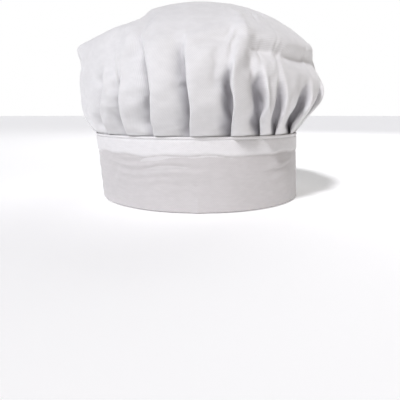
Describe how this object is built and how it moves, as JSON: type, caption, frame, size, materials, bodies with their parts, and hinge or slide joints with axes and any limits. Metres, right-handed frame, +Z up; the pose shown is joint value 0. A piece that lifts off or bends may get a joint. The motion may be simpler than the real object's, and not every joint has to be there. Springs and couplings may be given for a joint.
{
  "type": "chef toque",
  "caption": "Low floppy cloth chef's hat: a pleated round crown gathered into a straight folded headband that closes at the back with a hook-and-loop strap.",
  "frame": {"origin": "centre of the head opening, in the plane of the band's lower edge", "axes": "+Z up, the front faces -Y, the closure is at +Y, +X is to the right when the wearer is seen from the front"},
  "size_m": [0.2167, 0.238, 0.166],
  "materials": {
    "twill": "matte",
    "thread": "matte",
    "stiffener": "matte",
    "binding": "matte",
    "loops": "matte",
    "hooks": "satin",
    "label": "satin"
  },
  "bodies": {
    "hat": {"crown": "twill", "band": "twill", "band_interfacing": "stiffener", "pleat_basting": "thread", "band_top_stitching": "thread", "band_end_stitching": "thread", "vent_binding": "binding", "vent_bartacks": "thread", "tab_sewn_end": "twill", "loop_tape": "loops", "loop_tape_stitching": "thread", "care_label": "label", "care_label_stitching": "thread"},
    "strap": {"closure_tab": "twill", "tab_interfacing": "stiffener", "tab_edge_stitching": "thread", "hook_tape": "hooks", "hook_tape_stitching": "thread"}
  },
  "joints": [
    {"name": "strap_peel", "type": "hinge", "parent": "hat", "child": "strap", "pos_m": [0.01664, 0.09549, 0.0285], "axis": [0.063, -0.0343, -0.9974], "range_deg": [0, 100]}
  ]
}
